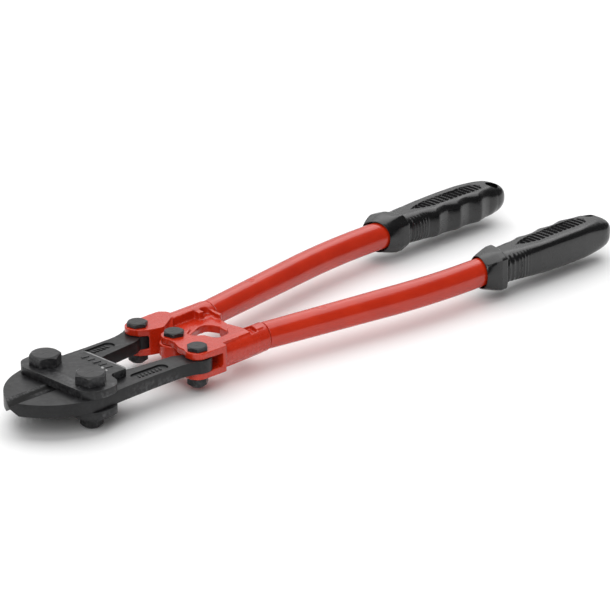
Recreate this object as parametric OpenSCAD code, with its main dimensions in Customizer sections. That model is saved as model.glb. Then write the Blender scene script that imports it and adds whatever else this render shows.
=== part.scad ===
// Bolt cutters: compound-lever cutters with forged jaws, link plates,
// cast sockets, painted tube handles and moulded grips.
// The tool lies flat with its jaws toward -X and its handles toward +X.

/* [Overall] */
// Overall length, jaw tips to grip ends
tool_len = 450; // [440:1:460]
// Height of the jaw mid-plane above the floor
mid_h = 17.9; // [17.8:0.1:20]
// Which node to draw (all draws everything)

/* [Pivots] */
// Front pivots, distance behind the tips
front_x = 43; // [41:0.5:45]
// Front pivots, distance from the centre line
front_y = 19.2; // [18.5:0.1:20]
// Rear pivots, distance behind the tips
rear_x = 117.8; // [116.5:0.1:119]
// Rear pivots, distance from the centre line
rear_y = 25.3; // [24.8:0.1:25.8]
// Centre pivot, distance behind the tips
center_x = 123.3; // [122.5:0.1:124]
// Running clearance on the radius of the pivots
run_fit = 0.05; // [0.02:0.01:0.1]

/* [Jaws] */
// Thickness of the jaws
jaw_t = 7.7; // [7:0.1:8]
// Radius of the rounded outer edge of the jaw nose
nose_r = 45; // [44:0.5:46]
// Width of the cutting bevel on each side
bevel_w = 5.2; // [4.5:0.1:7]
// Radius of the rear eye of each jaw
jaw_eye_r = 8.4; // [7.8:0.1:8.8]
// Length of the cutting edge
blade_len = 37; // [34:1:40]

/* [Link plates] */
// Thickness of each link plate
plate_t = 4.7; // [3.5:0.1:5.5]
// Half width of the link plates at the bolts
plate_half = 32.3; // [30:0.1:34]
// Half width of the tab at the rear of the plates
tab_half = 18.6; // [17:0.1:21]

/* [Castings] */
// Thickness of each fork ear
ear_t = 4.2; // [3.6:0.1:4.6]
// Gap between an ear or plate and the jaw beside it
face_gap = 0.1; // [0.05:0.01:0.15]
// Radius of the ear nose at the rear pivots
rear_ear_r = 7.4; // [7:0.1:8]
// Radius of the ear nose at the centre pivot
center_ear_r = 7.6; // [7:0.1:8]
// Radius of the round socket behind the fork
socket_r = 8.6; // [8.4:0.1:9]
// Where the sockets end and the tubes start
shoulder_x = 171; // [170:0.5:174]

/* [Handles] */
// Tube radius at the socket
tube_r_front = 8.1; // [7.8:0.05:8.4]
// Tube radius after the bend
tube_r = 8.8; // [8.5:0.05:9]
// Wall thickness of the tubes
tube_wall = 1.5; // [1.2:0.1:2]
// Angle of the handles to the centre line ahead of the bend
splay = 9; // [8.5:0.1:9.5]
// Angle the grips turn back toward the centre line
toe_in = 0.3; // [0.2:0.1:1]
// Where the bend starts
bend_x = 262; // [258:1:266]
// Bend radius of the tubes
bend_r = 450; // [440:5:470]
// Where the crimp dimples sit on the tubes
dimple_x = 213; // [200:0.5:220]
// Where the tubes end inside the grips
tube_end_x = 427; // [420:1:430]

/* [Grips] */
// Where the guard collar starts
collar_x = 333.5; // [333:0.5:336]
// Length of the guard collar
collar_len = 16; // [15:0.5:18]
// Slant of the guard collar's front, outer side forward
collar_slant = 16; // [12:1:18]
// Height of the guard collar
collar_h = 25.8; // [25:0.2:27]
// Height of the grip body
grip_h = 22.6; // [21.6:0.2:23]
// Number of ribs across the top panel
panel_ribs = 16; // [8:1:16]
// Radius of the hanging hole
hang_r = 4.2; // [3.5:0.1:4.5]
// Distance from the grip end to the hanging hole
hang_in = 10.5; // [10:0.5:14]
// How far the grip body sits outward of the tube
grip_out = 2; // [1.6:0.1:2.2]

/* [Fasteners] */
// Width across the flats of the front bolt heads
front_head_af = 16.4; // [15:0.1:17.5]
// Height of the front bolt heads
front_head_h = 6.4; // [5:0.1:7]
// Shank radius of the front bolts
front_shank_r = 5; // [4.5:0.1:5.5]
// Thread radius of the front bolts
front_thread_r = 3.8; // [3.4:0.1:4]
// Width across the flats of the front nuts
front_nut_af = 11.4; // [11:0.1:13]
// Width across the flats of the nuts and rear heads
small_af = 11.2; // [10.6:0.1:12]
// Height of the rear bolt heads
rear_head_h = 2.7; // [2.4:0.1:3.5]
// Shank radius of the rear bolts
rear_shank_r = 3.5; // [3.2:0.1:3.8]
// Thread radius of the rear and centre bolts
rear_thread_r = 2.9; // [2.5:0.1:3]

/* [Hidden] */
half_t = jaw_t / 2;
in_z = half_t + face_gap;
plate_top = in_z + plate_t;
ear_top = in_z + ear_t;
cx = tool_len / 2;
// Half gap between the closed blades, and half the flat on each edge
edge_y = 0.05;
edge_z = 0.25;
near = -1;
far = 1;
tan_s = tan(splay);
// The handle axis passes this point ahead of the bend
axis_x = 200;
axis_y = 28.1;
bend_y = axis_y + (bend_x - axis_x) * tan_s;
rear_x0 = bend_x + bend_r * (sin(splay) + sin(toe_in));
grip_y = bend_y + bend_r * (cos(toe_in) - cos(splay));
paint = [0.78, 0.13, 0.05];
steel = [0.24, 0.24, 0.25];
bolt_steel = [0.19, 0.19, 0.2];
rubber = [0.1, 0.1, 0.11];

// Puts a shape drawn from the tips (x = 0) at its place over the floor
module place() { translate([-cx, 0, mid_h]) children(); }

// The far side is drawn; the near side is its mirror image
module side(s) { if (s == far) children(); else mirror([0, 1, 0]) children(); }

// Corner points of an outline, each corner rounded by its third number
function unit(v) = v / norm(v);
function corner(a, b, c, r) =
    let (u = unit(a - b), w = unit(c - b), h = acos(u * w) / 2,
         d = r / tan(h), o = b + unit(u + w) * r / sin(h),
         p = b + u * d, q = b + w * d,
         a0 = atan2(p[1] - o[1], p[0] - o[0]),
         a1 = atan2(q[1] - o[1], q[0] - o[0]),
         da = a1 - a0 > 180 ? a1 - a0 - 360 : (a1 - a0 < -180 ? a1 - a0 + 360 : a1 - a0),
         n = max(1, ceil(abs(da) / 12)))
    r <= 0 ? [b] : [for (i = [0 : n]) o + r * [cos(a0 + da * i / n), sin(a0 + da * i / n)]];
function soft(p) = [for (i = [0 : len(p) - 1])
    let (a = p[(i + len(p) - 1) % len(p)], b = p[i], c = p[(i + 1) % len(p)])
    each corner([a[0], a[1]], [b[0], b[1]], [c[0], c[1]], b[2])];
module outline(p) { polygon(soft(p)); }

module slab(z0, z1) { translate([0, 0, z0]) linear_extrude(z1 - z0) children(); }
module at(x, y) { translate([x, y, 0]) children(); }

// Hexagon prism with the rim of one end turned to a chamfer
module hex_block(af, h, rim) {
    intersection() {
        cylinder(h = h, r = af / sqrt(3), $fn = 6);
        union() {
            cylinder(h = h - rim, r = af, $fn = 96);
            translate([0, 0, h - rim])
                cylinder(h = rim, r1 = af / sqrt(3) + 0.3, r2 = af / 2 - rim * 0.55, $fn = 96);
        }
    }
}

// ---------------------------------------------------------------- jaws
function nose_arc() = [for (i = [0 : 30])
    let (c = front_y - 33.2, a0 = 180 - asin((edge_y - c) / nose_r), a = a0 + (92 - a0) * i / 30)
    [front_x + nose_r * cos(a), c + nose_r * sin(a), 0]];
module jaw_blank() {
    outline([each nose_arc(), [56, 29.8, 20], [82, 29, 20], [104, 29.1, 30], [116.8, 33, 0],
             [118, 25, 0], [115, 18.8, 0], [108, 15.2, 10], [77, 11.8, 25], [60, 4, 8],
             [front_x + 4, 0.9, 2], [blade_len, edge_y, 0]]);}
module blade_bevel() {
    // Ground bevel above and below the cutting edge
    for (k = [1, -1])
        multmatrix([[1, 0, 0, -1], [0, 1, 0, 0], [0, 0, k, 0], [0, 0, 0, 1]])
            rotate([90, 0, 90]) linear_extrude(blade_len + 1)
                polygon([[-1, edge_z], [edge_y, edge_z], [bevel_w, half_t], [bevel_w, half_t + 1],
                         [-1, half_t + 1]]);
}
module jaw_pocket() {
    // Long shallow panel with round ends, slightly slanted like the arm
    for (k = [0, 1])
        mirror([0, 0, k]) difference() {
            slab(half_t - 1, half_t + 1)
                outline([[71, 18.2, 3.5], [71.2, 25.8, 3.5], [96.6, 26.4, 3.5], [96.4, 18.8, 3.5]]);
            // Row of raised bars on its floor
            for (i = [0 : 6])
                translate([76 + i * 2.6, 22.2 + i * 0.06, half_t - 0.8]) rotate([0, 0, 20])
                    cube([1.1, 3.4, 0.8], center = true);
        }
}
module jaw_side(s) {
    color(steel) place() side(s) difference() {
        union() {
            slab(-half_t, half_t) jaw_blank();
            at(rear_x, rear_y) translate([0, 0, -half_t])
                cylinder(h = jaw_t, r = jaw_eye_r, $fn = 96);
        }
        at(front_x, front_y) translate([0, 0, -5])
            cylinder(h = 10, r = front_shank_r + run_fit, $fn = 96);
        at(rear_x, rear_y) translate([0, 0, -5])
            cylinder(h = 10, r = rear_shank_r + run_fit, $fn = 96);
        blade_bevel();
        jaw_pocket();
    }
}
module jaw_near() { jaw_side(near); }
module jaw_far() { jaw_side(far); }

// ---------------------------------------------------------------- link plates
module plate_outline() {
    difference() {
        outline([for (s = [1, -1]) each (s == 1 ?
            [[30.4, 25.2, 5], [35.6, 32, 7], [43, plate_half + 0.6, 12], [51, plate_half, 8],
             [55.8, 26.5, 6], [57.6, tab_half - 0.4, 4], [61, tab_half, 6], [69.8, tab_half, 2],
             [72.8, tab_half - 4, 2]] :
            [[72.8, 4 - tab_half, 2], [69.8, -tab_half, 2], [61, -tab_half, 6],
             [57.6, -tab_half + 0.4, 4], [55.8, -26.5, 6], [51, -plate_half, 8],
             [43, -plate_half - 0.6, 12], [35.6, -32, 7], [30.4, -25.2, 5]])]);
        for (s = [1, -1])
            at(front_x, s * front_y) circle(r = front_shank_r + 0.03, $fn = 96);
    }
}
module plate() {
    difference() {
        slab(in_z, plate_top) plate_outline();
        // Long shallow bevel at the rear edge of the tab
        translate([69.2, -30, plate_top]) rotate([0, 20, 0]) cube([6, 60, 4]);
    }
    // Row of plain raised bars across the tab
    for (i = [-2 : 2])
        translate([64.4, i * 5, plate_top]) rotate([0, 0, -12]) cube([4.6, 1.7, 0.8], center = true);
}
module upper_plate() { color(steel) place() plate(); }
module lower_plate() { color(steel) place() mirror([0, 0, 1]) plate(); }

// ---------------------------------------------------------------- castings
// Round socket bar behind the fork and the spigot that carries the tube
module socket_body() {
    y1 = axis_y - (axis_x - shoulder_x) * tan_s;
    difference() {
        translate([134, y1 + 0.2, 0]) rotate([0, 90, 0])
            cylinder(h = shoulder_x - 132, r1 = ear_top, r2 = socket_r, $fn = 96);
        // Shoulder face, square to the tube
        translate([shoulder_x - 0.05, y1, 0]) rotate([0, 0, splay])
            translate([0, -20, -20]) cube([20, 40, 40]);
    }
    translate([shoulder_x, y1, 0]) rotate([0, 0, splay]) rotate([0, 90, 0])
        translate([0, 0, -3]) cylinder(h = 26, r = tube_r_front - tube_wall - 0.06, $fn = 96);
}
// Bores through the ears for the rear and centre bolts
module ear_bores(c_bore) {
    at(rear_x, rear_y) translate([0, 0, -20])
        cylinder(h = 40, r = rear_shank_r + 0.03, $fn = 96);
    if (c_bore)
        at(center_x, 0) translate([0, 0, -20])
            cylinder(h = 40, r = rear_shank_r + 0.03, $fn = 96);
}
// Fork casting: both ears hold the jaw eye and reach over the centre pivot
module casting_near() {
    color(paint) place() side(near) difference() {
        union() {
            slab(-ear_top, ear_top) {
                at(rear_x, rear_y) circle(r = rear_ear_r, $fn = 96);
                at(center_x, 0) circle(r = center_ear_r, $fn = 96);
                outline([[116.6, 1.8, 0], [115.9, 8, 6], [112.8, 14.5, 5], [112.2, 20, 0],
                         [112.6, 30.5, 0], [117.8, 32.7, 0], [134.2, 32.9, 1.5], [134.6, 28.6, 0.5],
                         [168.4, 27.4, 2], [168.4, 22.4, 1], [166.6, 20.6, 1.2],
                         [160.5, 21.8, 0.5], [158.4, 21.6, 1], [157.4, 13.4, 2], [151.8, 14, 2.5],
                         [146.6, 20.8, 4], [137.2, 21.6, 4], [135, 12.6, 3.5], [129.8, 8.4, 5],
                         [129.6, 2.2, 0]]);
            }
            socket_body();
            // Stop lug at mid-height, meets the other casting's lug
            slab(-3, 3) outline([[155, 22, 0], [158.5, 0.25, 1], [165.5, 0.25, 1.5],
                                 [168.6, 20, 0]]);
        }
        // Slot between the ears
        slab(-in_z, in_z) outline([[100, -12, 0], [100, 40, 0], [131.2, 40, 0], [131.2, 19, 2],
                                   [134.4, 11, 4], [134.8, -12, 0]]);
        ear_bores(true);
        // Small square recess ahead of the shoulder
        slab(ear_top - 2.6, ear_top + 1) outline([[158.4, 20, 0], [156.8, 28.4, 0.8],
                                                  [162.4, 28, 0.8], [164.2, 20, 0]]);
    }
}
// Tongue casting: its eye sits between the other casting's ears
module casting_far() {
    color(paint) place() side(far) difference() {
        union() {
            slab(-ear_top, ear_top) {
                at(rear_x, rear_y) circle(r = rear_ear_r, $fn = 96);
                outline([[111.6, 22, 0], [112.6, 30.5, 0], [117.8, 32.7, 0], [141, 32.8, 4],
                         [145.6, 28, 4], [141, 21, 1], [127, 12.6, 4], [118.5, 15.2, 5],
                         [112.6, 19, 1]]);
            }
            socket_body();
            // Cross rib, and a low rim at the end of the socket
            slab(-6.9, 6.9)
                outline([[158.2, 24, 0], [158.2, 16.6, 0.6], [161.6, 15.6, 0.6], [161.6, 24, 0]]);
            slab(-5.4, 5.4) outline([[166.6, 24, 0], [166.8, 7.6, 1], [169.4, 9, 1], [170.2, 24, 0]]);
            // Tongue to the centre pivot
            slab(-half_t, half_t) {
                at(center_x, 0) circle(r = 8.6, $fn = 96);
                outline([[131.4, 31, 0], [131.4, 15.5, 0], [117.4, 6.4, 2], [127, -6, 0],
                         [136, 3.2, 6], [146, 9.4, 8], [146, 31, 0]]);
            }
            // Web with the stop lug on its inner edge
            slab(-2.4, 2.4) outline([[132, 28, 0], [130, 2, 0], [140, 3.8, 6], [152, 9.4, 7],
                                     [157.5, 7.6, 5], [160, 0.25, 1], [166, 0.25, 1.5],
                                     [168, 8, 3], [169.6, 27, 0]]);
        }
        // Room between the ears for the jaw eye
        slab(-in_z, in_z) {
            at(rear_x, rear_y) circle(r = jaw_eye_r + 1.2, $fn = 96);
            outline([[100, 13.6, 0], [100, 40, 0], [131.2, 40, 0], [131.2, 27, 0],
                     [126, 19.5, 3], [117, 15.6, 3]]);
        }
        ear_bores(false);
        // Eye with room for the centre bolt to wander as the levers open
        at(center_x, 0) translate([0, 0, -20]) cylinder(h = 40, r = 6, $fn = 96);
        // Channel inside the outer rib, and a rounded pocket in the socket end
        for (k = [0, 1]) mirror([0, 0, k]) {
            slab(2.4, 12) outline([[130, 8, 0], [137.2, 15.6, 0.5], [140.6, 19.8, 1], [158.2, 20.2, 1],
                                   [158.2, 8, 0]]);
            slab(3, 12) outline([[161.6, 20, 1.2], [161.6, 5, 0], [166.8, 5, 0], [167.2, 12, 1.5],
                                 [168.6, 19.4, 3]]);
        }
    }
}

// ---------------------------------------------------------------- tubes
module ring(r) {
    difference() {
        circle(r = r, $fn = 96);
        circle(r = r - tube_wall, $fn = 96);
    }
}
module tube_side(s) {
    front_len = (bend_x - shoulder_x) / cos(splay);
    color(paint) place() side(s) difference() {
        union() {
            // Straight front run, widening slightly to the bend
            translate([bend_x, bend_y, 0]) rotate([0, 0, splay]) rotate([0, -90, 0])
                difference() {
                    cylinder(h = front_len, r1 = tube_r, r2 = tube_r_front, $fn = 96);
                    cylinder(h = front_len, r1 = tube_r - tube_wall,
                             r2 = tube_r_front - tube_wall, $fn = 96);
                }
            // Bend
            translate([bend_x, bend_y, 0]) rotate([0, 0, splay]) translate([0, -bend_r, 0])
                rotate([0, 0, 90 - splay - toe_in])
                    rotate_extrude(angle = splay + toe_in, $fn = 720)
                        translate([bend_r, 0]) ring(tube_r);
            // Straight rear run
            translate([rear_x0, grip_y, 0]) rotate([0, 90, -toe_in])
                linear_extrude(tube_end_x - rear_x0) ring(tube_r);
        }
        // Crimp dimples that hold the tube on its spigot
        for (k = [1, -1])
            translate([dimple_x, axis_y + (dimple_x - axis_x) * tan_s, k * (tube_r_front + 2.1)])
                rotate([90, 0, 0]) sphere(r = 2.4, $fn = 48);
    }
}
module tube_near() { tube_side(near); }
module tube_far() { tube_side(far); }

// ---------------------------------------------------------------- grips
// Drawn along the tube's rear run; the inner side, with finger grooves, is toward -Y
module grip_plan() {
    e = tool_len - rear_x0;
    c = collar_x + 9 - rear_x0;
    o = grip_out + 12.8;
    i = grip_out - 12.2;
    outline([[c, o - 2.9, 0], [c + 13, o - 2.6, 20], [c + 34, o - 1, 40], [e - 44, o, 60],
             [e, o - 0.8, 11], [e, i + 1.3, 9], [e - 14, i - 0.6, 6], [e - 21, i + 0.3, 9],
             [e - 30.3, i - 1.6, 3], [e - 39.9, i + 0.4, 9], [e - 49.7, i - 1.6, 3],
             [e - 59.5, i + 0.4, 9], [e - 69.3, i - 1.5, 3], [e - 79.5, i + 0.3, 10], [c, i + 0.1, 0]]);
}
module grip_profile() {
    // Side view: neck behind the collar, full height over the panel
    e = tool_len - rear_x0;
    c = collar_x + 9 - rear_x0;
    h = grip_h / 2 + 0.2;
    outline([[c, 10, 0], [c + 12, 10, 30], [c + 42, h, 60], [e - 22, h, 60], [e, h - 2.4, 8],
             [e, 2.4 - h, 8], [e - 22, -h, 60], [c + 42, -h, 60], [c + 12, -10, 30], [c, -10, 0]]);
}
module grip_section() {
    // End view: rounded block with a crowned top and bottom
    h = grip_h / 2 + 0.2;
    o = grip_out + 12.9;
    i = grip_out - 14;
    outline([[o, 5, 5.5], [o - 4, h - 0.5, 5], [1, h, 40], [i + 5, h - 0.5, 7], [i, 4.6, 7],
             [i, -4.6, 7], [i + 5, 0.5 - h, 7], [1, -h, 40], [o - 4, 0.5 - h, 5], [o, -5, 5.5]]);
}
module guard() {
    // Faceted guard collar, slanted, its front chamfered toward the tube
    c = collar_h / 2;
    translate([collar_x - rear_x0, 0.6, 0]) intersection() {
        translate([-12, 0, 0]) rotate([0, 90, 0]) rotate([0, 0, 22.5])
            cylinder(h = collar_len + 24, r = c / cos(22.5), $fn = 8);
        rotate([0, 0, collar_slant]) rotate([0, 90, 0]) union() {
            cylinder(h = 7, r1 = c - 2.9, r2 = c + 0.9, $fn = 96);
            translate([0, 0, 7]) cylinder(h = collar_len - 7, r = c + 0.9, $fn = 96);
        }
    }
}
module grip_side(s) {
    x0 = collar_x - rear_x0;
    e = tool_len - rear_x0;
    h = grip_h / 2;
    color(rubber) place() side(s) translate([rear_x0, grip_y, 0]) rotate([0, 0, -toe_in])
    difference() {
        union() {
            intersection() {
                slab(-20, 20) grip_plan();
                rotate([90, 0, 0]) slab(-20, 20) grip_profile();
                translate([x0, 0, 0]) rotate([90, 0, 90]) linear_extrude(e) grip_section();
                // Domed end
                translate([e - 23, grip_out, 0]) {
                    sphere(r = 23, $fn = 96);
                    rotate([0, -90, 0]) cylinder(h = 120, r = 23, $fn = 96);
                }
            }
            guard();
            // Fine ribs on both sides behind the collar
            for (i = [0 : 6])
                translate([x0 + collar_len + 2.4 + i * 2.7, grip_out - 0.9 + i * 0.08, 0])
                    rotate([0, 0, collar_slant]) cube([1.3, 24.6 + i * 0.2, 9], center = true);
            // Ribs across the top and bottom panels
            for (i = [0 : panel_ribs - 1], k = [1, -1])
                translate([e - 80.2 + i * 4, 1.2, k * (h + 0.1 - max(0, 5 - i) * 0.13)])
                    cube([1.5, 9.8 - pow(abs(i - 7.5), 2) * 0.06, 1], center = true);
        }
        // Bore for the tube, stepped open at the collar
        translate([x0 - 6, 0, 0]) rotate([0, 90, 0])
            cylinder(h = tube_end_x - collar_x + 6.5, r = tube_r + 0.04, $fn = 96);
        translate([x0 - 6, 0, 0]) rotate([0, 90, 0]) cylinder(h = 9, r = tube_r + 0.9, $fn = 96);
        // Hanging hole
        translate([e - hang_in, -2.3, -20]) cylinder(h = 40, r = hang_r, $fn = 96);
    }
}
module grip_near() { grip_side(near); }
module grip_far() { grip_side(far); }

// ---------------------------------------------------------------- fasteners
// Stepped shank: plain where the parts turn, thinner through the nut
module bolt(head_af, head_h, rim, z_head, r, r_thread, z_step, z_end, turn) {
    translate([0, 0, z_head]) rotate([0, 0, turn]) hex_block(head_af, head_h, rim);
    translate([0, 0, z_step]) cylinder(h = z_head - z_step, r = r, $fn = 96);
    translate([0, 0, z_end + 0.7]) cylinder(h = z_step - z_end - 0.7, r = r_thread, $fn = 96);
    translate([0, 0, z_end]) cylinder(h = 0.7, r1 = r_thread - 0.7, r2 = r_thread, $fn = 96);
}
module front_bolt(s, turn) {
    color(bolt_steel) place() at(front_x, s * front_y)
        bolt(front_head_af, front_head_h, 1.1, plate_top, front_shank_r, front_thread_r,
             -plate_top, -mid_h, turn);
}
// Locknut: hexagon with a conical end
module nut(af, z_top, h, r_bore, cone, turn) {
    difference() {
        translate([0, 0, z_top]) mirror([0, 0, 1]) {
            rotate([0, 0, turn]) hex_block(af, h, 0.7);
            translate([0, 0, h])
                cylinder(h = cone, r1 = af / 2 - 0.6, r2 = af / 2 - 0.7 - cone * 0.8, $fn = 96);
        }
        translate([0, 0, z_top - h - cone - 1])
            cylinder(h = h + cone + 2, r = r_bore + 0.03, $fn = 96);
    }
}
module front_nut(s) {
    color(bolt_steel) place() at(front_x, s * front_y)
        nut(front_nut_af, -plate_top, 8.1, front_thread_r, 0.8, s * 12);
}
module small_bolt(x, y, turn) {
    color(bolt_steel) place() at(x, y)
        bolt(small_af, rear_head_h, 0.9, ear_top, rear_shank_r, rear_thread_r,
             -ear_top, -14.7, turn);
}
module small_nut(x, y, turn) {
    color(bolt_steel) place() at(x, y) nut(small_af, -ear_top, 4.8, rear_thread_r, 1.2, turn);
}
module front_bolt_near() { front_bolt(near, 14); }
module front_bolt_far() { front_bolt(far, 2); }
module front_nut_near() { front_nut(near); }
module front_nut_far() { front_nut(far); }
module rear_bolt_near() { small_bolt(rear_x, -rear_y, 20); }
module rear_bolt_far() { small_bolt(rear_x, rear_y, 5); }
module center_bolt() { small_bolt(center_x, 0, 12); }
module rear_nut_near() { small_nut(rear_x, -rear_y, 8); }
module rear_nut_far() { small_nut(rear_x, rear_y, 25); }
module center_nut() { small_nut(center_x, 0, 17); }

upper_plate();
lower_plate();
jaw_near();
jaw_far();
casting_near();
casting_far();
tube_near();
tube_far();
grip_near();
grip_far();
front_bolt_near();
front_bolt_far();
front_nut_near();
front_nut_far();
rear_bolt_near();
rear_bolt_far();
rear_nut_near();
rear_nut_far();
center_bolt();
center_nut();
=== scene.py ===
"""Bolt cutters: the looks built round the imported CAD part. Lengths are in metres, in the row frame."""

import math

import bmesh
import bpy
import numpy as np
from mathutils import Matrix, Vector


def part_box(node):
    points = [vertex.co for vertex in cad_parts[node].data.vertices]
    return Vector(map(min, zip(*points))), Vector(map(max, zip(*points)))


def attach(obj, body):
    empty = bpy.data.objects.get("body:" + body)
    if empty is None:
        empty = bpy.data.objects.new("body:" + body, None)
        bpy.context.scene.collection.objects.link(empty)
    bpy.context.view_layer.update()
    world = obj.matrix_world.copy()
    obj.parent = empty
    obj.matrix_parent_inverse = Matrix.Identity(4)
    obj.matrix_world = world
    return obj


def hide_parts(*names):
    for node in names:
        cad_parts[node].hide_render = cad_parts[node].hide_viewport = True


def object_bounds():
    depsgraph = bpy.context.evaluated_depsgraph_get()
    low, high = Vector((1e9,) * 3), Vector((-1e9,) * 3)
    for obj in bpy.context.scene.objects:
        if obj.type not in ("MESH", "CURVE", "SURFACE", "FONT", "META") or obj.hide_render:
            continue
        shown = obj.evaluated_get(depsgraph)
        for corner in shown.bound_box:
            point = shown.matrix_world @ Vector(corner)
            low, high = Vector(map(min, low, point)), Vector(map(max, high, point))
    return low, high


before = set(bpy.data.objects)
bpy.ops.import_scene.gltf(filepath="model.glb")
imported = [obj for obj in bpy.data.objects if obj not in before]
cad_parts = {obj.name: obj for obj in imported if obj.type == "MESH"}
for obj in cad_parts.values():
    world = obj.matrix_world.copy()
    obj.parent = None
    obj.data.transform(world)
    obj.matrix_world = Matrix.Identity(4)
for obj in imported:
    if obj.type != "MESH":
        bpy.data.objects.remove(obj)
cad_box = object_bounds()

MM = 0.001
TIP_X = -225 * MM  # the jaw tips, in the row frame
SIDES = {"near": -1, "far": 1}

# Handles: the same run as the CAD tubes
SPLAY = math.radians(9)
TOE_IN = math.radians(0.3)
BEND_X = TIP_X + 262 * MM
BEND_R = 450 * MM
TUBE_R = 8.8 * MM
TUBE_R_FRONT = 8.1 * MM
TUBE_WALL = 1.5 * MM
DIMPLE_X = TIP_X + 213 * MM
REAR_X = BEND_X + BEND_R * (math.sin(SPLAY) + math.sin(TOE_IN))

# Hanging hole through each grip: its place, how far inside the tube's axis, and its radius
HOLE_X = TIP_X + 439.5 * MM
HOLE_IN = 2.85 * MM
HOLE_R = 4.2 * MM

# Across flats, head height, shank radius and thread radius of the two bolt sizes
LARGE_BOLT = (16.4 * MM, 6.4 * MM, 5 * MM, 3.8 * MM)
SMALL_BOLT = (11.2 * MM, 2.7 * MM, 3.5 * MM, 2.9 * MM)
# Across flats, height of the conical end and bore radius of the two nut sizes
LARGE_NUT = (11.4 * MM, 0.8 * MM, 3.83 * MM)
SMALL_NUT = (11.2 * MM, 1.2 * MM, 2.93 * MM)

tube_lo, tube_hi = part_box("tube_far")
MID_Z = (tube_lo.z + tube_hi.z) / 2
GRIP_Y = tube_hi.y - TUBE_R
BEND_Y = GRIP_Y - BEND_R * (math.cos(TOE_IN) - math.cos(SPLAY))


# ------------------------------------------------------------ materials
def build_material(name):
    """A new node material with its Principled shader, and a function that adds and links nodes."""
    mat = bpy.data.materials.new(name)
    mat.use_nodes = True
    tree = mat.node_tree
    shader = tree.nodes["Principled BSDF"]
    coords = tree.nodes.new("ShaderNodeTexCoord")

    def noise(scale, detail=4.0, rough=0.55, distort=0.0):
        node = tree.nodes.new("ShaderNodeTexNoise")
        node.inputs["Scale"].default_value = scale
        node.inputs["Detail"].default_value = detail
        node.inputs["Roughness"].default_value = rough
        node.inputs["Distortion"].default_value = distort
        tree.links.new(coords.outputs["Object"], node.inputs["Vector"])
        return node.outputs["Fac"]

    def ramp(source, *stops):
        node = tree.nodes.new("ShaderNodeValToRGB")
        band = node.color_ramp
        while len(band.elements) < len(stops):
            band.elements.new(0.5)
        for element, (at, colour) in zip(band.elements, stops):
            element.position = at
            element.color = (*colour, 1) if isinstance(colour, tuple) else (colour,) * 3 + (1,)
        tree.links.new(source, node.inputs["Fac"])
        return node.outputs["Color"]

    def mix(factor, a, b, mode="MIX"):
        node = tree.nodes.new("ShaderNodeMix")
        node.data_type = "RGBA"
        node.blend_type = mode
        for key, value in ((0, factor), (6, a), (7, b)):
            if isinstance(value, (float, tuple)):
                node.inputs[key].default_value = (*value, 1) if isinstance(value, tuple) else value
            else:
                tree.links.new(value, node.inputs[key])
        return node.outputs[2]

    def bump(height, distance, strength=1.0, after=None):
        node = tree.nodes.new("ShaderNodeBump")
        node.inputs["Distance"].default_value = distance
        node.inputs["Strength"].default_value = strength
        tree.links.new(height, node.inputs["Height"])
        if after is not None:
            tree.links.new(after, node.inputs["Normal"])
        return node.outputs["Normal"]

    def edges(low, high):
        node = tree.nodes.new("ShaderNodeNewGeometry")
        return ramp(node.outputs["Pointiness"], (low, 0.0), (high, 1.0))

    def level(*stops):
        """Ramp over how level the surface lies: 0 for a wall, 1 for a flat facing up or down."""
        split = tree.nodes.new("ShaderNodeSeparateXYZ")
        size = tree.nodes.new("ShaderNodeMath")
        size.operation = "ABSOLUTE"
        tree.links.new(coords.outputs["Normal"], split.inputs["Vector"])
        tree.links.new(split.outputs["Z"], size.inputs[0])
        return ramp(size.outputs["Value"], *stops)

    def link(source, socket):
        tree.links.new(source, shader.inputs[socket])

    return mat, shader, noise, ramp, mix, bump, edges, level, link


def enamel(name, cast):
    """Glossy orange-red enamel. Where cast is above 0 the casting's skin shows through as bumps, and its
    edges get a painted highlight: a paler orange-red, broken up by noise.
    """
    mat, shader, noise, ramp, mix, bump, edges, level, link = build_material(name)
    tone = ramp(noise(60, 3), (0.3, (0.47, 0.02, 0.004)), (0.7, (0.54, 0.027, 0.006)))
    specks = ramp(noise(900, 2), (0.66, 0.0), (0.74, 1.0))
    tone = mix(specks, tone, mix(0.25, tone, (0.2, 0.02, 0.01)))
    if cast:
        # Painted highlight: the convex edges are lightened toward a paler orange-red
        painted_edge_highlight = edges(0.515, 0.56)
        tone = mix(mix(painted_edge_highlight, (0.0,) * 3, ramp(noise(420), (0.35, 0.15), (0.65, 0.8))),
                   tone, (0.62, 0.07, 0.03))
    link(tone, "Base Color")
    link(ramp(noise(220, 4), (0.3, 0.2), (0.75, 0.34 if cast else 0.27)), "Roughness")
    shader.inputs["Coat Weight"].default_value = 0.25
    shader.inputs["Coat Roughness"].default_value = 0.09
    shader.inputs["IOR"].default_value = 1.42
    skin = bump(noise(1500, 3), 0.00002, 0.5)
    if cast:
        skin = bump(noise(330, 5, 0.6), 0.00022 * cast, 0.7, skin)
    link(skin, "Normal")
    return mat


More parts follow.
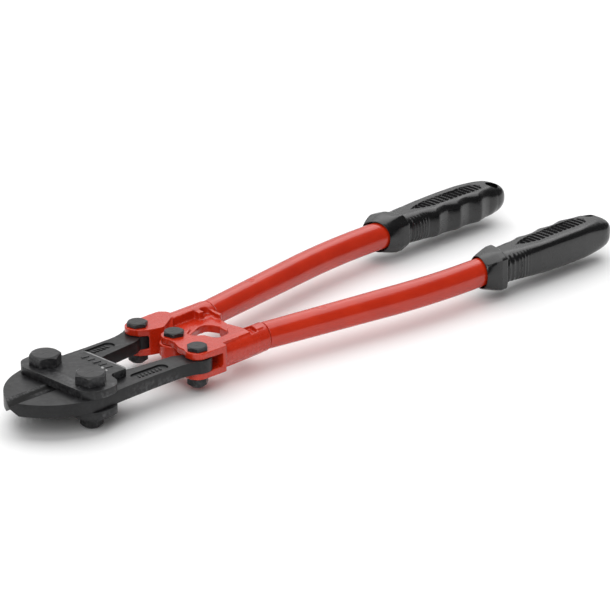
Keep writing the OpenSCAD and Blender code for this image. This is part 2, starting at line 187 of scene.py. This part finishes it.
def blackened(name, light, grain, rough, bevel_tilt=None, bevel_painted_light=0.0):
    """Blackened forged steel: satin, a little mottled, rubbed lighter along its edges. Its ground
    bevels, which lie at bevel_tilt,
    are matt and carry painted light: a flat tone of their own, painted shade where that tone is dark and
    a painted highlight where it is light."""
    mat, shader, noise, ramp, mix, bump, edges, level, link = build_material(name)
    dark = tuple(c * light for c in (0.009, 0.009, 0.0095))
    pale = tuple(c * light for c in (0.015, 0.015, 0.016))
    tone = ramp(noise(90, 5), (0.3, dark), (0.72, pale))
    scuff = ramp(noise(800, 6, 0.7, 1.5), (0.6, 0.0), (0.78, 0.5))
    tone = mix(scuff, tone, (0.03 * light, 0.03 * light, 0.031 * light))
    rub = mix(edges(0.52, 0.6), (0.0,) * 3, ramp(noise(500), (0.4, 0.0), (0.7, 0.8)))
    tone = mix(rub, tone, (0.09, 0.09, 0.093))
    skin = ramp(noise(350, 5), (0.25, rough - 0.07), (0.8, rough + 0.1))
    # Painted light on the bevels: their colour is set flat, very dark for painted shade on the jaws,
    # pale for a painted highlight on the plate
    if bevel_tilt:
        at = math.cos(math.radians(bevel_tilt))
        bevel = level((at - 0.03, 0.0), (at - 0.01, 1.0), (at + 0.01, 1.0), (at + 0.025, 0.0))
        tone = mix(bevel, tone, (bevel_painted_light,) * 3)
        skin = mix(bevel, skin, (0.65,) * 3)
    link(tone, "Base Color")
    link(skin, "Roughness")
    shader.inputs["Specular IOR Level"].default_value = 0.3
    link(bump(noise(2400, 3), 0.00002, 0.5, bump(noise(900, 6, 0.6), grain, 0.6)), "Normal")
    return mat


def moulded(name):
    """Glossy black moulded grip, with faint flow marks and a fine skin."""
    mat, shader, noise, ramp, mix, bump, edges, level, link = build_material(name)
    link(ramp(noise(70, 3), (0.3, (0.003, 0.003, 0.0033)), (0.7, (0.0045, 0.0045, 0.0048))),
         "Base Color")
    link(ramp(noise(260, 4), (0.3, 0.2), (0.75, 0.3)), "Roughness")
    shader.inputs["Specular IOR Level"].default_value = 0.55
    link(bump(noise(2600, 2), 0.000018, 0.5, bump(noise(140, 3), 0.00006, 0.4)), "Normal")
    return mat


# ------------------------------------------------------------ mesh helpers
def add_piece(name, mesh, body, node, mat, smooth=0.6):
    """Links a finished mesh as a piece that rides on body and stands for node."""
    mesh.materials.clear()
    mesh.materials.append(mat)
    mesh.polygons.foreach_set("use_smooth", [True] * len(mesh.polygons))
    mesh.set_sharp_from_angle(angle=smooth)
    piece = bpy.data.objects.new(name, mesh)
    bpy.context.scene.collection.objects.link(piece)
    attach(piece, body)
    if node:
        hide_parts(node)
    return piece


def loft(name, rings):
    """A closed mesh through rings of equal point counts, with both ends capped round a centre point."""
    count = len(rings[0])
    points = np.concatenate([*rings, [np.mean(rings[0], 0)], [np.mean(rings[-1], 0)]])
    faces = [(r * count + i, r * count + (i + 1) % count, (r + 1) * count + (i + 1) % count,
              (r + 1) * count + i) for r in range(len(rings) - 1) for i in range(count)]
    first, last = len(points) - 2, (len(rings) - 1) * count
    faces += [(first, (i + 1) % count, i) for i in range(count)]
    faces += [(len(points) - 1, last + i, last + (i + 1) % count) for i in range(count)]
    mesh = bpy.data.meshes.new(name)
    mesh.from_pydata([tuple(p) for p in points], [], faces)
    fix_normals(mesh)
    return mesh


def fix_normals(mesh):
    """Turns every face of the mesh outward."""
    work = bmesh.new()
    work.from_mesh(mesh)
    bmesh.ops.recalc_face_normals(work, faces=work.faces)
    work.to_mesh(mesh)
    work.free()


def with_modifiers(mesh, *settings):
    """A new mesh: the given one with modifiers applied, each as (type, {setting: value})."""
    holder = bpy.data.objects.new("work", mesh)
    bpy.context.scene.collection.objects.link(holder)
    for kind, values in settings:
        modifier = holder.modifiers.new(kind.lower(), kind)
        for key, value in values.items():
            setattr(modifier, key, value)
    graph = bpy.context.evaluated_depsgraph_get()
    made = bpy.data.meshes.new_from_object(holder.evaluated_get(graph))
    bpy.data.objects.remove(holder)
    return made


def cad_mesh(node):
    """A copy of a CAD node's mesh, its split corners joined and its flat faces made whole."""
    work = bmesh.new()
    work.from_mesh(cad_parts[node].data)
    bmesh.ops.remove_doubles(work, verts=work.verts, dist=0.002 * MM)
    bmesh.ops.dissolve_limit(work, angle_limit=math.radians(0.6), verts=work.verts,
                             edges=work.edges)
    mesh = bpy.data.meshes.new(node + "_copy")
    work.to_mesh(mesh)
    work.free()
    return mesh


def forged_piece(node, body, mat, width):
    """A CAD node with its edges rounded over."""
    bevel = {"width": width, "segments": 3, "limit_method": "ANGLE",
             "angle_limit": math.radians(28), "use_clamp_overlap": True,
             "miter_outer": "MITER_ARC"}
    mesh = with_modifiers(cad_mesh(node), ("BEVEL", bevel), ("TRIANGULATE", {}))
    return add_piece(node + "_forging", mesh, body, node, mat, 0.5)


def cast_piece(node, body, mat):
    """A CAD node with the soft edges of a casting."""
    mesh = with_modifiers(cad_mesh(node),
                          ("REMESH", {"mode": "VOXEL", "voxel_size": 0.42 * MM}),
                          ("SMOOTH", {"factor": 0.5, "iterations": 5}))
    return add_piece(node + "_casting", mesh, body, node, mat, 1.2)


# ------------------------------------------------------------ fasteners
AROUND = 96


def hex_radius(across_flats, turn):
    """Radius of a hexagon with slightly rounded corners, at each of the AROUND angles."""
    angles = np.linspace(0, 2 * math.pi, AROUND, endpoint=False)
    reach = sum(np.abs(np.cos(angles - turn - k * math.pi / 3)) ** 60 for k in range(3))
    return angles, across_flats / 2 / reach ** (1 / 60)


def ring_at(centre, angles, radius, height):
    """A level ring of points round centre; radius and height may differ from point to point."""
    radius = np.broadcast_to(radius, angles.shape)
    height = np.broadcast_to(height, angles.shape)
    return np.stack([centre[0] + radius * np.cos(angles), centre[1] + radius * np.sin(angles),
                     height], 1)


def bolt_piece(node, body, mat, flats, head, shank, thread, turn):
    """Hexagon bolt: chamfered, slightly domed head with a raised bar, plain shank, rolled thread."""
    lo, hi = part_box(node)
    centre = ((lo.x + hi.x) / 2, (lo.y + hi.y) / 2)
    angles, wide = hex_radius(flats, turn)
    top, seat = hi.z, hi.z - head
    inner = flats / 2 * 0.92
    step = MID_Z - (seat - MID_Z)
    shoulder = top - 0.12 * MM - (wide - inner) * 0.62
    rings = [ring_at(centre, angles, thread * 0.78, lo.z)]
    pitch = 1.0 * MM
    turns = np.arange(lo.z + 0.5 * MM, step - 0.3 * MM, pitch / 4)
    rings += [ring_at(centre, angles, thread - 0.28 * MM * (i % 4 in (0, 3)), z)
              for i, z in enumerate(turns)]
    rings += [ring_at(centre, angles, r, z) for r, z in
              ((thread, step), (shank, step), (shank, seat))]
    rings += [ring_at(centre, angles, wide - 0.25 * MM, seat),
              ring_at(centre, angles, wide, seat + 0.25 * MM),
              ring_at(centre, angles, wide, shoulder)]
    rings += [ring_at(centre, angles, inner + (wide - inner) * s, top - 0.12 * MM
                      - (wide - inner) * s * 0.62) for s in (0.66, 0.33)]
    for radius in np.linspace(inner, 0.15 * MM, 24):
        along = np.abs(radius * np.cos(angles)) / MM
        across = np.abs(radius * np.sin(angles)) / MM
        bar = np.clip((flats / MM * 0.19 - along) * 4, 0, 1) * np.clip((0.6 - across) * 4, 0, 1)
        rings.append(ring_at(centre, angles, radius, top - (1 - bar) * 0.12 * MM))
    mesh = loft(node, rings)
    return add_piece(node + "_turned", mesh, body, node, mat, 0.42)


def nut_piece(node, body, mat, flats, cone, bore, turn):
    """Locknut: chamfered hexagon with a conical lower end."""
    lo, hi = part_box(node)
    centre = ((lo.x + hi.x) / 2, (lo.y + hi.y) / 2)
    angles, wide = hex_radius(flats, turn)
    round_r = flats / 2 - 0.55 * MM
    base = lo.z + cone
    rings = [ring_at(centre, angles, bore, hi.z), ring_at(centre, angles, round_r, hi.z),
             ring_at(centre, angles, wide, hi.z - (wide - round_r) * 0.5),
             ring_at(centre, angles, wide, base + (wide - round_r) * 0.6 + 0.1 * MM),
             ring_at(centre, angles, round_r, base + 0.1 * MM),
             ring_at(centre, angles, round_r - 0.15 * MM, base - 0.1 * MM),
             ring_at(centre, angles, round_r - cone * 0.7, lo.z + 0.25 * MM),
             ring_at(centre, angles, round_r - cone * 0.7 - 0.3 * MM, lo.z),
             ring_at(centre, angles, bore, lo.z)]
    rings += [ring_at(centre, angles, bore, lo.z + (hi.z - lo.z) * s)
              for s in (0.25, 0.5, 0.75)]
    mesh = tube_mesh(node, rings)
    return add_piece(node + "_turned", mesh, body, node, mat, 0.42)


def tube_mesh(name, rings):
    """A closed ring-shaped mesh: the last ring joins the first."""
    count = len(rings[0])
    points = np.concatenate(rings)
    total = len(rings)
    faces = [(r * count + i, r * count + (i + 1) % count,
              (r + 1) % total * count + (i + 1) % count, (r + 1) % total * count + i)
             for r in range(total) for i in range(count)]
    mesh = bpy.data.meshes.new(name)
    mesh.from_pydata([tuple(p) for p in points], [], faces)
    fix_normals(mesh)
    return mesh


# ------------------------------------------------------------ handles
def tube_axis(x):
    """Height above the centre line, and slope angle, of the far tube's axis where it passes x."""
    bend_mid = BEND_X + BEND_R * math.sin(SPLAY)
    if x < BEND_X:
        return BEND_Y - (BEND_X - x) * math.tan(SPLAY), SPLAY
    if x < REAR_X:
        angle = math.asin((bend_mid - x) / BEND_R)
        return BEND_Y + BEND_R * (math.cos(angle) - math.cos(SPLAY)), angle
    return GRIP_Y - (x - REAR_X) * math.tan(TOE_IN), -TOE_IN


def tube_piece(side, mat):
    """Bent tube, tapering toward its socket, with a crimp dimple above and below."""
    sign = SIDES[side]
    lo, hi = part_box("tube_" + side)
    start = lo.x + TUBE_R_FRONT * math.sin(SPLAY)
    angles = np.linspace(0, 2 * math.pi, AROUND, endpoint=False)
    near_dimple = DIMPLE_X + np.arange(-12, 13) * 0.32 * MM
    along = np.unique(np.concatenate([np.linspace(start, hi.x, 70), near_dimple]))

    def ring(x, radius, dent=True):
        y, slope = tube_axis(x)
        spot = np.hypot((x - DIMPLE_X) / (2.3 * MM), np.cos(angles) * radius / (2.3 * MM))
        radii = radius - (0.95 * MM * np.exp(-spot ** 4) if dent else 0)
        out = radii * np.cos(angles)
        return np.stack([x - out * math.sin(slope), sign * (y + out * math.cos(slope)),
                         MID_Z + radii * np.sin(angles)], 1)

    def wide(x):
        share = min(1, max(0, (x - start) / (BEND_X - start)))
        return TUBE_R_FRONT + (TUBE_R - TUBE_R_FRONT) * share

    gap = [(0, 1.2), (0.75, 1.2), (0.8, 0.25), (1.0, 0.06)]
    rings = [ring(start + x * MM, TUBE_R_FRONT - r * MM, False) for x, r in gap]
    rings += [ring(x, wide(x)) for x in along[along > start + 1.3 * MM]]
    rings += [ring(x, wide(x) - TUBE_WALL, False) for x in (hi.x, REAR_X, BEND_X, start)]
    mesh = tube_mesh("tube_" + side, rings)
    return add_piece("tube_" + side + "_painted", mesh, side + "_handle", "tube_" + side,
                     mat, 0.7)


def bell(value, centre, width):
    """A bump of height 1 at centre, fading out over width."""
    return np.exp(-((value - centre) / width) ** 2)


SLANT = 0.287  # how far the guard leans: the outer side sits forward


def grip_surface(x, angles):
    """Points of the grip's outside at x millimetres behind the tips, as outward and upward offsets in
    millimetres from the tube's axis. Angle 0 points outward and 90 degrees up."""
    cos, sin = np.cos(angles), np.sin(angles)
    # Finger grooves: hollow between the crests on the inner side
    pitch, crest = 19.6, 380.8
    phase = abs((x - crest + pitch / 2) % pitch - pitch / 2) / (pitch / 2)
    ridge = (1 - math.sqrt((phase ** 2 + 0.012) / 1.012)) ** 1.5
    ridge *= np.interp(x, [362, 378, 428, 438], [0, 1, 1, 0])
    inner = np.interp(x, [348, 366, 384, 425, 440, 450], [10.2, 9.9, 9.7, 9.9, 10.2, 10.0])
    inner += 2.3 * ridge
    outer = np.interp(x, [344, 356, 366, 378, 392, 405, 418, 432, 450],
                      [12.0, 12.0, 12.4, 13.4, 14.1, 14.6, 14.8, 14.7, 14.4])
    high = np.interp(x, [348, 358, 372, 388, 400, 425, 438, 450],
                     [9.9, 9.9, 10.4, 10.9, 11.1, 11.1, 10.9, 10.4])
    high = high - np.where(sin > 0, np.interp(x, [358, 385], [0, 1.2]), 0)
    half = np.where(cos > 0, outer, inner)
    power = np.where(cos > 0, np.interp(x, [350, 366, 384, 420, 438], [2.6, 4.2, 6.0, 5.4, 3.0]),
                     np.interp(x, [350, 380, 420, 438], [2.4, 3.6, 3.8, 2.3]))
    radius = ((np.abs(cos) / half) ** power + (np.abs(sin) / high) ** power) ** (-1 / power)
    closing = max(0.0, (x - 434.5) / 15.25)
    radius = radius * max(0.0, 1 - closing ** 2.6) ** (1 / 2.6)
    # Fine ribs on both flanks behind the guard, slanted like it
    lean = x + SLANT * radius * cos
    fade = np.interp(lean, [353.5, 354.5, 366, 373], [0, 1, 0.8, 0])
    flank = np.clip((np.abs(cos) - 0.66) * 6, 0, 1)
    radius = radius + 0.62 * fade * flank * bell((lean - 352.4) % 2.65, 1.32, 0.55)
    out, up = radius * cos, radius * sin
    # Ribbed panels above and below
    reach = np.interp(x, [367, 374, 384, 420, 428, 431.5], [0.0, 3.0, 5.0, 5.6, 5.0, 0.0])
    if reach > 0.2:
        inside = np.clip((reach - np.abs(out - 1.0)) / 0.35, 0, 1) * (np.abs(sin) > 0.5)
        rib = bell((x - 367.8) % 4, 2.0, 0.7)
        ladder = 0.5 + 0.5 * np.sin(out * math.pi / 0.9) * (1 if (x - 367.8) % 8 < 4 else -1)
        up = up + np.sign(up) * inside * (-1.5 + 1.85 * rib + 0.3 * (1 - rib) * ladder)
    return out, up


# Guard facets on the outer half, then the inner: direction of each face and its distance
FACETS = ((0, 12.85), (70, 13.2), (91, 11.9), (137, 12.7), (180, 10.9),
          (223, 12.7), (269, 12.6), (290, 13.9))


def guard_surface(x, angles):
    """Points of the guard: an eight-sided hood that opens from a round mouth, x at its middle."""
    cos, sin = np.cos(angles), np.sin(angles)
    grow = np.interp(x, [334.8, 335.2, 338.3, 343.0, 346.0, 350.4, 351.4, 352.2],
                     [0.0, 0.14, 0.45, 0.82, 1.0, 1.0, 0.9, 0.5])
    hood = sum((np.maximum(np.cos(angles - math.radians(a)), 0.02) / d) ** 50 for a, d in FACETS)
    radius = 9.9 + grow * (hood ** (-1 / 50) - 9.9)
    return radius * cos, radius * sin


def grip_angles():
    """Angles round the grip, closest together over the two ribbed panels."""
    quarter = np.linspace(-1, 1, 46, endpoint=False)
    flank = np.linspace(-1, 1, 24, endpoint=False)
    wide, narrow = math.radians(38), math.radians(52)
    return np.concatenate([flank * narrow, math.pi / 2 + quarter * wide,
                           math.pi + flank * narrow, 1.5 * math.pi + quarter * wide])


def grip_piece(side, mat):
    """Moulded grip: guard, ribbed neck, panelled body with finger grooves, domed end with its hole."""
    sign = SIDES[side]
    lo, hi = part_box("grip_" + side)
    angles = grip_angles()
    length = (hi.x - TIP_X) / MM
    bore = TUBE_R / MM + 0.04

    def place(x, out, up):
        y = tube_axis(TIP_X + x * MM)[0]
        out, up = np.broadcast_to(out, angles.shape), np.broadcast_to(up, angles.shape)
        return np.stack([np.full(angles.shape, TIP_X + x * MM), sign * (y + out * MM),
                         MID_Z + up * MM], 1)

    def circle(x, radius):
        return place(x, radius * np.cos(angles), radius * np.sin(angles))

    def leaning(x, out, up):
        points = place(x, out, up)
        points[:, 0] -= SLANT * out * MM
        return points

    mouth = [(341.0, bore), (341.0, 9.75), (335.2, 9.75)]
    rings = [circle(x, bore) for x in (425.5, 400, 360)]
    rings += [leaning(x, r * np.cos(angles), r * np.sin(angles)) for x, r in mouth]
    rings += [leaning(x, *guard_surface(x, angles)) for x in
              np.unique(np.concatenate([np.linspace(334.9, 350.9, 30), [351.2, 351.5, 351.9]]))]
    # The guard's slanted back blends into the upright sections behind it
    for x in np.linspace(352.6, 358.6, 18):
        share = (358.6 - x) / 6
        out, up = grip_surface(x, angles)
        points = place(x, out, up)
        points[:, 0] -= SLANT * out * share * MM
        rings.append(points)
    body = np.concatenate([np.arange(358.96, 435.5, 0.36), np.linspace(436, length - 1.4, 24),
                           length - np.array([1.1, 0.8, 0.55, 0.35, 0.22])])
    rings += [place(x, *grip_surface(x, angles)) for x in body]
    mesh = loft("grip_" + side, rings)
    cutter = bpy.data.meshes.new("hole")
    work = bmesh.new()
    bmesh.ops.create_cone(work, cap_ends=True, segments=64, radius1=HOLE_R, radius2=HOLE_R,
                          depth=40 * MM, matrix=Matrix.Translation(
                              (HOLE_X, sign * (GRIP_Y - HOLE_IN), MID_Z)))
    work.to_mesh(cutter)
    work.free()
    drill = bpy.data.objects.new("hole", cutter)
    bpy.context.scene.collection.objects.link(drill)
    mesh = with_modifiers(mesh, ("BOOLEAN", {"object": drill, "operation": "DIFFERENCE",
                                             "solver": "EXACT"}))
    bpy.data.objects.remove(drill)
    return add_piece("grip_" + side + "_moulded", mesh, side + "_handle", "grip_" + side,
                     mat, 0.65)


# ------------------------------------------------------------ studio
def studio():
    """Pale floor, dim surroundings, soft lights ahead and overhead, and a bright card behind."""
    world = bpy.data.worlds.new("studio")
    bpy.context.scene.world = world
    world.use_nodes = True
    background = world.node_tree.nodes["Background"]
    background.inputs["Color"].default_value = (1, 1, 1, 1)
    background.inputs["Strength"].default_value = 0.12
    floor_mesh = bpy.data.meshes.new("floor")
    half = 6.0
    floor_mesh.from_pydata([(-half, -half, 0), (half, -half, 0), (half, half, 0), (-half, half, 0)],
                           [], [(0, 1, 2, 3)])
    floor = bpy.data.objects.new("floor", floor_mesh)
    floor.location.z = cad_box[0].z
    bpy.context.scene.collection.objects.link(floor)
    paper, shader, noise, ramp, mix, bump, edges, level, link = build_material("floor_paper")
    link(ramp(noise(3, 2), (0.3, 0.9), (0.7, 0.92)), "Base Color")
    shader.inputs["Roughness"].default_value = 0.9
    shader.inputs["Specular IOR Level"].default_value = 0.1
    floor_mesh.materials.append(paper)
    for name, place, size, power in (("main", (-1.7, -1.2, 1.7), (1.9, 1.9), 37),
                                     ("overhead", (0.35, 0.65, 2.0), (3.2, 3.2), 68),
                                     ("card", (1.9, 1.9, 1.0), (4.2, 1.3), 14)):
        light = bpy.data.lights.new(name, "AREA")
        light.shape = "RECTANGLE"
        light.size = size[0]
        light.size_y = size[1]
        light.energy = power
        lamp = bpy.data.objects.new(name, light)
        lamp.location = place
        lamp.rotation_euler = (-Vector(place)).to_track_quat("-Z", "Y").to_euler()
        bpy.context.scene.collection.objects.link(lamp)


def photo_camera():
    """Long lens, off the near front corner and a little above."""
    yaw, pitch = math.radians(44.9), math.radians(21.87)
    aim = Vector((TIP_X + 129.9 * MM, -99.6 * MM, MID_Z + 52.76 * MM))
    back = Vector((-math.sin(yaw) * math.cos(pitch), -math.cos(yaw) * math.cos(pitch),
                   math.sin(pitch)))
    data = bpy.data.cameras.new("camera")
    data.lens = 188.9
    data.sensor_width = 36
    camera = bpy.data.objects.new("camera", data)
    camera.location = aim + back * 1.75455
    camera.rotation_euler = (-back).to_track_quat("-Z", "Y").to_euler()
    bpy.context.scene.collection.objects.link(camera)
    bpy.context.scene.camera = camera


# ------------------------------------------------------------ the tool
photo_camera()
studio()
bpy.context.scene.view_settings.view_transform = "Standard"

cast_paint = enamel("enamel_on_casting", 1.0)
tube_paint = enamel("enamel_on_tube", 0.0)
# The jaws' ground bevels at 35 degrees are painted near-black: painted shade
steel = blackened("blackened_forging", 0.95, 0.00004, 0.42, 35, 0.002)
# The plate's 20 degree bevel is painted pale grey: a painted highlight
plate_steel = blackened("blackened_plate", 1.0, 0.00003, 0.38, 20, 0.35)
bolt_finish = blackened("blackened_bolt", 1.1, 0.00003, 0.34)
rubber = moulded("black_moulding")

for tier in ("upper", "lower"):
    forged_piece(tier + "_plate", "links", plate_steel, 0.7 * MM)
for side in SIDES:
    forged_piece("jaw_" + side, side + "_jaw", steel, 0.45 * MM)
    cast_piece("casting_" + side, side + "_handle", cast_paint)
    tube_piece(side, tube_paint)
    grip_piece(side, rubber)
    bolt_piece("front_bolt_" + side, "links", bolt_finish, *LARGE_BOLT,
               math.radians(14 if side == "near" else 2))
    nut_piece("front_nut_" + side, "links", bolt_finish, *LARGE_NUT,
              math.radians(12 * SIDES[side]))
    bolt_piece("rear_bolt_" + side, side + "_handle", bolt_finish, *SMALL_BOLT,
               math.radians(20 if side == "near" else 5))
    nut_piece("rear_nut_" + side, side + "_handle", bolt_finish, *SMALL_NUT,
              math.radians(8 if side == "near" else 25))
bolt_piece("center_bolt", "near_handle", bolt_finish, *SMALL_BOLT, math.radians(12))
nut_piece("center_nut", "near_handle", bolt_finish, *SMALL_NUT, math.radians(17))
